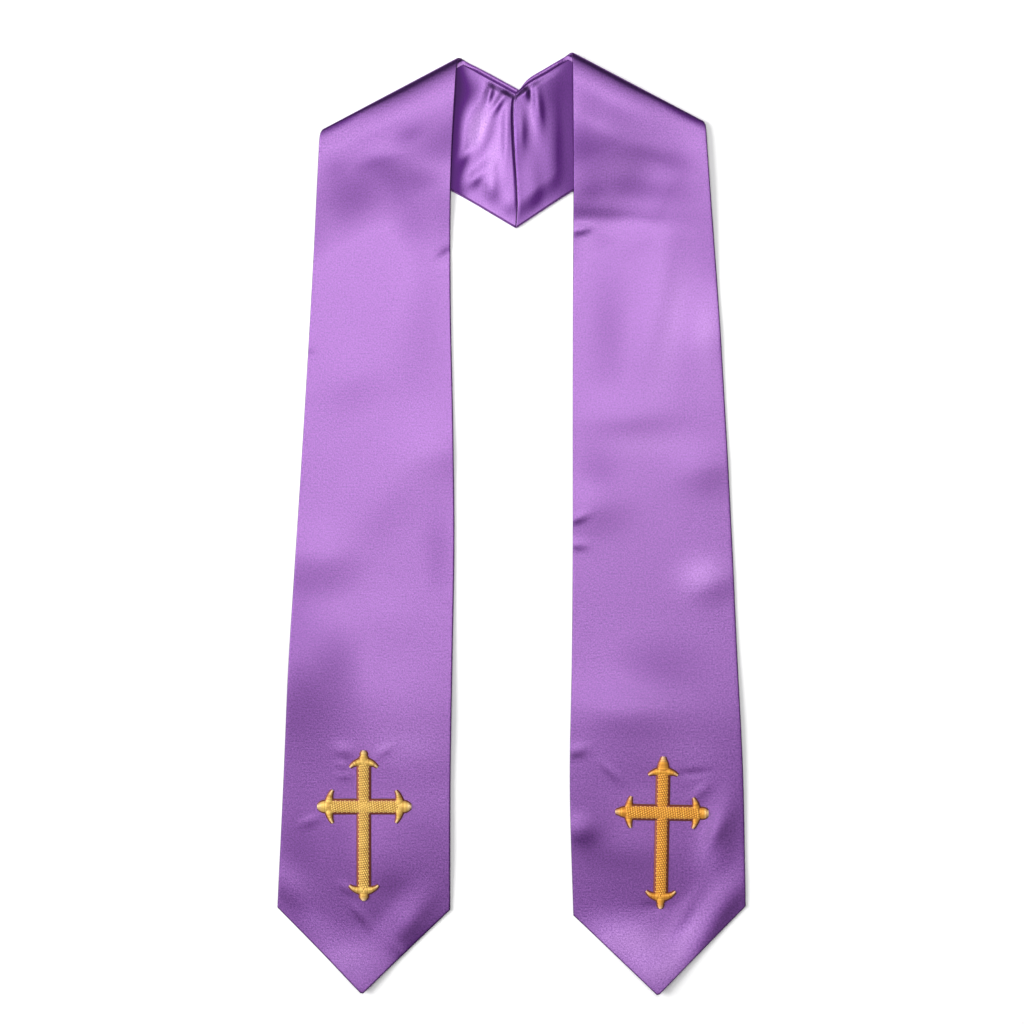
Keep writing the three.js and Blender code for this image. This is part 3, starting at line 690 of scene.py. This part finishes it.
def satin(name, dark, light, roughness, metallic, grain_depth):
    """Polyester satin: a sheen in the cloth's own colour, with painted shade, painted darkest turns and
    painted light from its attributes, a fine mottled grain and a close weave.
    """
    material, shader, shade = new_material(
        name, Specular_IOR_Level=1.0, Specular_Tint=GLAZE_TINT, IOR=GLAZE, Coat_Roughness=COAT_ROUGHNESS)
    cloth = shade.node("ShaderNodeUVMap", {"uv_map": "flat_pattern"})
    mottle = shade.node("ShaderNodeTexNoise", inputs={
        "Vector": cloth, "Scale": MOTTLE.scale, "Detail": MOTTLE.detail})
    drawn_out = shade.node("ShaderNodeMapping", inputs={"Vector": cloth, "Scale": SLUB.scale})
    slub = shade.node("ShaderNodeTexNoise", inputs={
        "Vector": drawn_out, "Scale": 1.0, "Detail": SLUB.detail})
    weave = shade.node("ShaderNodeTexWave", {"wave_type": "BANDS", "bands_direction": "DIAGONAL"}, {
        "Vector": cloth, "Scale": WEAVE.scale, "Distortion": WEAVE.distortion, "Detail": WEAVE.detail})
    painted_shade_share, turned, lit = (shade.node("ShaderNodeAttribute", {"attribute_name": key}, output="Fac")
                         for key in ("shade", "turned", "lit"))
    tone = (mottle - 0.5) * MOTTLE.contrast + (slub - 0.5) * SLUB.contrast + 0.5
    relief = mottle * MOTTLE.relief + slub * SLUB.relief + weave * WEAVE.relief
    bump = shade.node("ShaderNodeBump", inputs={
        "Height": relief, "Strength": RELIEF_STRENGTH, "Distance": grain_depth})
    # The cloth's colour with painted light and painted shade, and the painted darkest colour on flanks,
    # rims and the fold's edge.
    colour_with_painted_light = lit.times(tone.mixed(dark, light), PAINTED_LIGHT_GAIN)
    gleam = painted_shade_share * PAINTED_SHADE_METALLIC + turned * PAINTED_DARKEST_METALLIC - lit * PAINTED_LIGHT_METALLIC + metallic
    feed(shade, shader,
         Base_Color=turned.mixed(painted_shade_share.times(colour_with_painted_light, PAINTED_SHADE_COLOUR), PAINTED_DARKEST),
         Metallic=shade.math("MINIMUM", gleam, MOST_METALLIC),
         Roughness=(tone - 0.5) * TONE_ROUGHNESS + painted_shade_share * PAINTED_SHADE_ROUGHNESS + roughness,
         Coat_Weight=tone * (1 - painted_shade_share) * COAT_GRAIN,
         Normal=bump)
    return material


strip_satin = satin("purple_satin", dark=(0.05, 0.001, 0.15, 1), light=(0.295, 0.084, 0.46, 1),
                    roughness=0.35, metallic=0.35, grain_depth=0.0004)

for name, half in HALVES.items():
    lay_out(half)
    parts = [front_rows(name, half), roll_rows(half), back_rows(half)]
    point, wall, places = (np.concatenate(group) for group in zip(*parts))
    normal = grid_normals(point)
    on_back = slice(-(BACK_ROWS + 1), None)
    normal[on_back] = (0, 0, -1)
    facing_up = np.ones((len(point), 1))
    facing_up[on_back] = 0
    # The strip's painted shade and light patches lie on its face only, as does the painted dark rim of its
    # turned edges.
    strip = cloth_mesh(name + "_satin_strip", half.sign, SimpleNamespace(
        point=point, normal=normal, wall=wall, places=places, start=point[0, :, 1],
        shaded=ridge_rise(PAINTED_PATCHES[name], point[..., 0], point[..., 1]) * facing_up,
        steep_shade=STEEP_SHADE, rimmed=facing_up))
    strip.data.materials.append(strip_satin)
    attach(strip, "root")
    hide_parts(name + "_strip")


# Neck linings. Between the shoulders the back shows its inner side, a lighter, looser satin that
# is sewn in along the rolled lip, the lower edge and the centre seam and wrinkles between them.
LINING_WALL = 0.7
LINING_LIFT = 0.3
LINING_INSET = 1.0  # from the lower edge
LINING_STEEP_SHADE = 2.6
LINING_FROM = 0.03  # share of the way from the fold to the centre seam
LINING_ROWS = 150
LINING_COLUMNS = 120
# How far from the lip, the lower edge and the seam the lining lies free, how firmly the seam holds
# it, and over what stretch and beyond what distance out it lies flat under the front.
LINING_FREE = SimpleNamespace(lip=7.0, lower=22.0, seam=2.6, seam_hold=0.4, front=16.0, hidden=54.0)
LINING_PAINTED_SHADE = {  # painted shade over each half, and the depth and width of a painted shadow beside the front
    "left": SimpleNamespace(start=0.08, beside=1.5, width=20.0),
    "right": SimpleNamespace(start=0.42, beside=0.55, width=26.0),
}
# The linings' patches of painted shade and painted highlight, and their wrinkles, in the same columns, with
# x to the viewer's right from the middle line.
LINING_PAINTED_PATCHES = [
    Ridge(-39, 379, -40, 26, 16, 1.0),
    Ridge(-28, 352, 74, 26, 10, -1.1),
    Ridge(-16, 320, 84, 36, 7, -0.4),
    Ridge(-40, 318, 60, 16, 9, 0.35),
    Ridge(-20, 290, 0, 16, 10, 0.2),
    Ridge(32, 378, 80, 22, 12, 0.35),
    Ridge(17, 362, 97, 26, 4, -0.5),
    Ridge(30, 340, 88, 40, 8, 0.15),
    Ridge(4, 330, 88, 40, 4, 0.35),
]
LINING_RIDGES = [
    Ridge(6, 336, 90, 84, 26, 1.5),
    Ridge(-20, 377, 77, 9, 3.4, 1.0),
    Ridge(-11, 370, 58, 11, 3.6, 0.9),
    Ridge(-26, 346, 77, 26, 10, 2.0),
    Ridge(-45, 320, 52, 12, 5, 0.8),
    Ridge(-33, 302, 46, 20, 6, 1.0),
    Ridge(-19, 296, 86, 26, 7, 1.1),
    Ridge(-6, 273, 70, 12, 6, 0.6),
    Ridge(-5, 346, 89, 32, 4.0, 0.7),
    Ridge(11, 380, 100, 8, 3.6, 1.0),
    Ridge(17, 377, 97, 10, 3.0, -0.7),
    Ridge(23, 364, 97, 18, 4.5, 1.0),
    Ridge(8, 344, 91, 17, 4.5, 0.8),
    Ridge(34, 330, 92, 50, 9, 0.8),
    Ridge(20, 290, 94, 30, 8, 0.6),
]


def lining_height(half, point, from_lip, from_lower):
    """Height of the middle of the lining, held down at its edges and loose between them."""
    x, y = point[..., 0], point[..., 1]
    top, bottom = half.seam[0, 1], half.seam[-1, 1]
    seam_x = along(half.seam, (top - y) / (top - bottom))[..., 0]
    free = LINING_FREE
    loose = ((1 - fade(from_lip / free.lip)) * (1 - fade(from_lower / free.lower))
             * (1 - free.seam_hold * fade((x - seam_x) / free.seam))
             * fade((x - free.hidden + free.front) / free.front))
    return WALL + LINING_LIFT + LINING_WALL / 2 + ridge_rise(LINING_RIDGES, x * half.sign, y) * loose


lining_satin = satin("purple_lining", dark=(0.07, 0.006, 0.17, 1), light=(0.28, 0.09, 0.45, 1),
                     roughness=0.33, metallic=0.35, grain_depth=0.0003)

for name, half in HALVES.items():
    first = LIP_WIDTH + LINING_LIFT
    share = mix(LINING_FROM, 1, np.linspace(0, 1, LINING_ROWS + 1))
    steps = np.linspace(0, 1, LINING_COLUMNS + 1)
    point, places, width = back_point(
        half, share, lambda w: mix(first, w[:, None] - LINING_INSET, steps))
    height = lining_height(half, point, places - first, width[:, None] - LINING_INSET - places)
    point = with_height(point, height)[::-1]
    wall = np.full(places.shape, LINING_WALL)
    normal = grid_normals(point)
    # Painted shade over the whole half, and a painted shadow of the front's edge beside it, then the
    # painted patches.
    shading = LINING_PAINTED_SHADE[name]
    shaded = shading.start + shading.beside * fade((LINING_FREE.hidden - point[..., 0]) / shading.width)
    shaded = shaded + ridge_rise(LINING_PAINTED_PATCHES, point[..., 0] * half.sign, point[..., 1])
    lining = cloth_mesh(name + "_lining_satin", half.sign, SimpleNamespace(
        point=point, normal=normal, wall=wall, places=places[::-1], start=0.0, shaded=shaded,
        steep_shade=LINING_STEEP_SHADE, rimmed=0.0))
    lining.data.materials.append(lining_satin)
    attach(lining, "root")
    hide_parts(name + "_neck_lining")


# Embroidered crosses. Each is thick gold thread in padded satin stitch over a brown cord padding, whose rim
# beyond the thread is a painted shadow round it: two beaded bars, and at each end a bud between two hooked
# leaves, sewn through the front above the hem. The left one is worked flat where the bars meet, the right
# one with the bar on top.
CROSS_BASE = 0.5  # height above the cloth that the strands go down to
UPRIGHT_HALF = 5.35
BAR_RISE = 1.7
PATCH_REACH = 4.3  # of the slanting stitches over the middle of the left cross
BUD_LIFT = 0.2
LEAF_ROOT = 2.4  # how far behind the bud a leaf springs from the bar
LEAF_CURL = 0.9
LEAF_POWER = 3.2

# Each head's direction in degrees, its reach from the middle of the cross, the length, half width
# and kind of its bud, and how far back from its tip and out to the side its two leaves end.
Head = namedtuple("Head", "angle reach bud bud_half bud_kind leaf_back leaf_across")
CROSSES = {
    "left": SimpleNamespace(
        turn=0, bar_half=5.9, bar_lift=0.1, patch=True,
        heads=[
            Head(90, 49.5, 8.2, 3.7, "beads", 14.1, 12.1),
            Head(-90, 82.8, 7.0, 3.5, "ball", 12.6, 12.8),
            Head(180, 40.9, 8.0, 4.9, "cone", 12.7, 14.6),
            Head(0, 41.8, 8.0, 4.8, "cone", 12.7, 14.2),
        ],
    ),
    "right": SimpleNamespace(
        turn=-1.1, bar_half=6.1, bar_lift=1.1, patch=False,
        heads=[
            Head(90, 49.4, 11.0, 4.5, "long_cone", 15.6, 12.9),
            Head(-90, 84.7, 8.4, 3.4, "beads", 14.6, 12.9),
            Head(180, 41.3, 9.6, 4.4, "long_cone", 12.9, 13.9),
            Head(0, 40.5, 8.4, 4.9, "capped", 12.6, 13.6),
        ],
    ),
}
# Shares of the bud's length back from its tip, and there its share of the half width and its rise.
BUD_SHAPES = {
    "beads": [(1.3, 1.1, 2.0), (0.95, 1.0, 2.2), (0.72, 0.94, 2.1), (0.56, 0.66, 1.6),
              (0.40, 0.74, 1.9), (0.20, 0.66, 1.8), (0.0, 0.22, 0.9)],
    "ball": [(1.4, 1.15, 2.0), (1.12, 0.80, 1.7), (0.85, 0.95, 2.1), (0.50, 1.05, 2.5),
             (0.20, 0.75, 2.1), (0.0, 0.25, 1.0)],
    "cone": [(1.4, 1.12, 2.0), (0.90, 1.05, 2.2), (0.55, 0.94, 2.2), (0.25, 0.70, 2.0), (0.0, 0.30, 1.2)],
    "long_cone": [(1.25, 1.1, 2.0), (0.80, 1.0, 2.3), (0.50, 0.80, 2.1), (0.24, 0.50, 1.7),
                  (0.12, 0.46, 1.7), (0.0, 0.22, 1.0)],
    "capped": [(1.3, 1.15, 2.0), (0.95, 0.92, 1.8), (0.60, 0.98, 2.3), (0.30, 0.88, 2.5), (0.0, 0.50, 1.5)],
}
# Shares of the way out along a leaf, with its half width and rise there.
LEAF_SHAPE = [(0.05, 3.7, 2.1), (0.36, 3.1, 2.1), (0.58, 2.1, 1.9), (0.8, 1.3, 1.5), (1.0, 0.5, 0.9)]

# How a bar and a head are stitched: spacing of the strands, their radius as a share of it, their
# slant in degrees, how deep their beads are, and how far they stay in from the padding's edge.
Stitch = namedtuple("Stitch", "pitch radius slant bead inset")
STITCHES = {
    "bar": Stitch(pitch=2.05, radius=0.50, slant=9.0, bead=0.42, inset=0.9),
    "head": Stitch(pitch=1.0, radius=0.60, slant=0.0, bead=0.05, inset=0.0),
}
# The padding's rim beyond its stroke, which shows as a painted shadow round the thread, its share of the
# height, and its foot and lift on the cloth.
# The strands' least count and half width, how they lean and stand proud, and how uneven they are.
PADDING = SimpleNamespace(sides=16, rim=1.25, share=0.75, foot=0.2, lift=0.1)
STRAND = SimpleNamespace(sides=8, fewest=3, thinnest=0.3, lean=0.35, proud=0.62, jitter=0.5)
ROD_RINGS = 30
BEAD_PITCH = 2.1
HEADING_STEP = 0.6  # along a stroke to either side, to find which way it heads
# On the bars, each strand's tone: its least, its random share, and the painted light on each bead's crest,
# with painted shade at its neck.
BAR_TONE_AND_BEAD_LIGHT = SimpleNamespace(least=0.35, strand=0.3, crest=0.35)
# Where a painted highlight starts on each strand, and how strong it is at a bar's sides and a head's tips.
HIGHLIGHT_FROM = 0.6  # share of the way to a bar's side or a head's tip
BAR_HIGHLIGHT = 0.45
HEAD_HIGHLIGHT = 1.5
Stroke = namedtuple("Stroke", "points half rise base kind")
Part = namedtuple("Part", "points faces tone pale under")


def cross_strokes(cross):
    """Centre lines of the bars, buds and leaves, each with its half width and rise along it."""
    top, foot, inner, outer = (head.reach - head.bud for head in cross.heads)
    upright = [(0, -foot), (0, top)]
    bar = [(-inner, 0), (outer, 0)]
    patch = [(-PATCH_REACH, -PATCH_REACH), (PATCH_REACH, PATCH_REACH)]
    bars = [(upright, UPRIGHT_HALF, 0), (bar, cross.bar_half, cross.bar_lift)]
    if cross.patch:
        bars.append((patch, UPRIGHT_HALF, 2 * cross.bar_lift))
    strokes = [Stroke(np.array(ends), np.full(2, half), np.full(2, BAR_RISE), CROSS_BASE + lift, "bar")
               for ends, half, lift in bars]
    for head in cross.heads:
        angle = math.radians(head.angle)
        ahead = np.array((math.cos(angle), math.sin(angle)))
        aside = np.array((-ahead[1], ahead[0]))
        for side in (1, -1):
            share, half, rise = np.array(LEAF_SHAPE).T
            behind = mix(head.bud + LEAF_ROOT, head.leaf_back + LEAF_CURL, share**LEAF_POWER)
            out = share * head.leaf_across * side
            leaf = (head.reach - behind)[:, None] * ahead + out[:, None] * aside
            strokes.append(Stroke(leaf, half, rise, CROSS_BASE, "head"))
        back, half, rise = np.array(BUD_SHAPES[head.bud_kind]).T
        bud = (head.reach - back * head.bud)[:, None] * ahead
        strokes.append(Stroke(bud, half * head.bud_half, rise, CROSS_BASE + BUD_LIFT, "head"))
    return strokes


def unit_rod(sides):
    """One straight rod, modelled once: 2 long, 1 in radius, in even rings."""
    bpy.ops.object.select_all(action="DESELECT")
    bpy.ops.mesh.primitive_cylinder_add(vertices=sides, radius=1, depth=2, rotation=(0, math.pi / 2, 0))
    rod = bpy.context.object
    bpy.ops.object.transform_apply(location=True, rotation=True, scale=True)
    bpy.ops.object.mode_set(mode="EDIT")
    for ring in range(1, ROD_RINGS):
        bpy.ops.mesh.select_all(action="SELECT")
        bpy.ops.mesh.bisect(plane_co=(-1 + 2 * ring / ROD_RINGS, 0, 0), plane_no=(1, 0, 0))
    bpy.ops.object.mode_set(mode="OBJECT")
    vertices = np.array([v.co for v in rod.data.vertices])
    faces = [tuple(p.vertices) for p in rod.data.polygons]
    bpy.data.objects.remove(rod)
    return vertices, faces


def turned_in_plan(vectors, degrees):
    """Plan vectors, turned anticlockwise."""
    turn = math.radians(degrees)
    x, y = vectors[..., 0], vectors[..., 1]
    new_x = x * math.cos(turn) - y * math.sin(turn)
    new_y = x * math.sin(turn) + y * math.cos(turn)
    return np.stack([new_x, new_y], axis=-1)


def stroke_run(stroke):
    """The distance along a stroke of each of its points."""
    steps = np.linalg.norm(np.diff(stroke.points, axis=0), axis=1)
    return np.concatenate([[0], np.cumsum(steps)])


def stroke_point(stroke, run, at):
    return np.stack([np.interp(at, run, stroke.points[:, k]) for k in (0, 1)], axis=-1)


def stroke_heading(stroke, run, at):
    """The way a stroke heads at a distance along it."""
    before, after = (stroke_point(stroke, run, np.clip(at + step, 0, run[-1]))
                     for step in (-HEADING_STEP, HEADING_STEP))
    return unit(after - before)


def lay_padding(rod, stroke):
    """The rod stretched along a stroke and flattened to a low body that its thread goes over."""
    run = stroke_run(stroke)
    at = (rod[:, 0] + 1) / 2 * run[-1]
    ahead = stroke_heading(stroke, run, at)
    aside = np.stack([-ahead[:, 1], ahead[:, 0]], axis=-1)
    half = np.interp(at, run, stroke.half) + PADDING.rim
    rise = np.interp(at, run, stroke.rise)
    reach = np.where(rod[:, 2] > 0, (stroke.base + rise) * PADDING.share, PADDING.foot)
    xy = stroke_point(stroke, run, at) + (rod[:, 1] * half)[:, None] * aside
    return np.column_stack([xy, rod[:, 2] * reach + PADDING.lift])


def lay_strand(rod, centre, ahead, half, rise, base, thick):
    """The rod bent over the padding, from one side of a stroke to the other."""
    aside = np.array((-ahead[1], ahead[0]))
    angle = rod[:, 0] * math.pi / 2
    slope_side = half * np.cos(angle)
    slope_height = -rise * np.sin(angle) - STRAND.lean
    proud = rod[:, 2] * thick * STRAND.proud / np.hypot(slope_side, slope_height)
    side = half * np.sin(angle) - slope_height * proud
    height = base * np.cos(angle) ** 0.5 + rise * np.cos(angle) + slope_side * proud
    xy = centre + side[:, None] * aside + (rod[:, 1] * thick)[:, None] * ahead
    return np.column_stack([xy, height])


strand_rod, strand_faces = unit_rod(STRAND.sides)
padding_rod, padding_faces = unit_rod(PADDING.sides)
random = np.random.default_rng(7)


def stitch_stroke(stroke):
    """The padding of one stroke and the strands over it, with the beads of neighbours in turn."""
    stitch = STITCHES[stroke.kind]
    run = stroke_run(stroke)
    strands = max(STRAND.fewest, round(run[-1] / stitch.pitch))
    outward = np.abs(strand_rod[:, 0])
    parts = [Part(lay_padding(padding_rod, stroke), padding_faces, tone=0.0, pale=0.0, under=1.0)]
    for i in range(strands):
        share = (i + 0.5) / strands
        at = share * run[-1]
        ahead = turned_in_plan(stroke_heading(stroke, run, at), stitch.slant)
        half = max(STRAND.thinnest, np.interp(at, run, stroke.half) - stitch.inset)
        rise = np.interp(at, run, stroke.rise)
        phase = math.pi * (i % 2) + random.uniform(-STRAND.jitter, STRAND.jitter)
        over = half * strand_rod[:, 0] * math.pi / 2
        crest = np.cos(2 * math.pi * over / BEAD_PITCH + phase)
        thick = run[-1] / strands * stitch.radius * (1 + stitch.bead * crest)
        centre = stroke_point(stroke, run, at)
        points = lay_strand(strand_rod, centre, ahead, half, rise, stroke.base, thick)
        tone = random.uniform(0, 1)
        if stroke.kind == "bar":
            # A random tone for each strand, lighter with painted light on each bead's crest and darker with
            # painted shade at its neck.
            tone = BAR_TONE_AND_BEAD_LIGHT.least + BAR_TONE_AND_BEAD_LIGHT.strand * tone + BAR_TONE_AND_BEAD_LIGHT.crest * crest
            pale = BAR_HIGHLIGHT * np.clip((outward - HIGHLIGHT_FROM) / (1 - HIGHLIGHT_FROM), 0, 1)
        else:
            pale = HEAD_HIGHLIGHT * max(0.0, share - HIGHLIGHT_FROM)
        parts.append(Part(points, strand_faces, tone, pale, under=0.0))
    return parts


def stitch_cross(name, cross, half_strip, place, material):
    """All the padding and strands of one cross, joined, and laid on the front's own form."""
    parts = [part for stroke in cross_strokes(cross) for part in stitch_stroke(stroke)]
    sizes = [len(part.points) for part in parts]
    starts = np.cumsum([0, *sizes]).tolist()
    faces = [tuple(v + start for v in face) for part, start in zip(parts, starts) for face in part.faces]
    local = np.concatenate([part.points for part in parts])
    plan = turned_in_plan(local, cross.turn) + place
    cloth = WALL / 2 + front_height(name, half_strip, plan * (half_strip.sign, 1))
    laid = (with_height(plan, local[:, 2] + cloth) + FRAME_SHIFT) * MM
    mesh = bpy.data.meshes.new(name)
    mesh.from_pydata(laid.tolist(), [], faces)
    for key in ("tone", "pale", "under"):
        values = [np.broadcast_to(getattr(part, key), size) for part, size in zip(parts, sizes)]
        mesh.attributes.new(key, "FLOAT", "POINT").data.foreach_set("value", np.concatenate(values))
    mesh.polygons.foreach_set("use_smooth", [True] * len(mesh.polygons))
    mesh.materials.append(material)
    piece = bpy.data.objects.new(name + "_stitched_cross", mesh)
    bpy.context.collection.objects.link(piece)
    return piece


# The thread's finish: the colour of its painted highlight, that of the cord below, which also serves as a
# painted shadow round the thread, how far strands and fibres differ in tone, and how the fibres catch the
# light.
THREAD_HIGHLIGHT = (0.92, 0.72, 0.46, 1)
# The cord's brown, which also paints the shadow round the thread.
PADDING_BROWN_AND_SHADOW = (0.20, 0.038, 0.018, 1)
STRAND_CONTRAST = 0.6
FIBRE = SimpleNamespace(scale=1400.0, detail=3.0, contrast=0.5, strength=0.6, depth=0.0002)
THREAD_ROUGHNESS = SimpleNamespace(middle=0.40, spread=0.2)


def gold_thread(name, dark, light):
    """Rayon thread: a soft gloss, fibres along it, and a painted highlight at a bar's sides and a head's
    tips.
    """
    material, shader, shade = new_material(name, Metallic=0.35, Sheen_Weight=0.15)
    tone, pale, under = (shade.node("ShaderNodeAttribute", {"attribute_name": key}, output="Fac")
                         for key in ("tone", "pale", "under"))
    place = shade.node("ShaderNodeTexCoord", output="Object")
    fibre = shade.node("ShaderNodeTexNoise", inputs={
        "Vector": place, "Scale": FIBRE.scale, "Detail": FIBRE.detail})
    blend = (tone - 0.5) * STRAND_CONTRAST + (fibre - 0.5) * FIBRE.contrast + 0.5
    bump = shade.node("ShaderNodeBump", inputs={
        "Height": fibre, "Strength": FIBRE.strength, "Distance": FIBRE.depth})
    gold = pale.mixed(blend.mixed(dark, light), THREAD_HIGHLIGHT)
    feed(shade, shader,
         Base_Color=under.mixed(gold, PADDING_BROWN_AND_SHADOW),
         Roughness=(fibre - 0.5) * THREAD_ROUGHNESS.spread + THREAD_ROUGHNESS.middle,
         Normal=bump)
    return material


THREADS = {
    "left": gold_thread("light_gold_thread", (0.42, 0.18, 0.015, 1), (0.95, 0.66, 0.17, 1)),
    "right": gold_thread("deep_gold_thread", (0.50, 0.16, 0.008, 1), (0.95, 0.50, 0.06, 1)),
}
for name, half in HALVES.items():
    place = (half.cross[0] * half.sign, half.cross[1])
    stitched = stitch_cross(name, CROSSES[name], half, place, THREADS[name])
    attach(stitched, "root")
    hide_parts(name + "_cross")
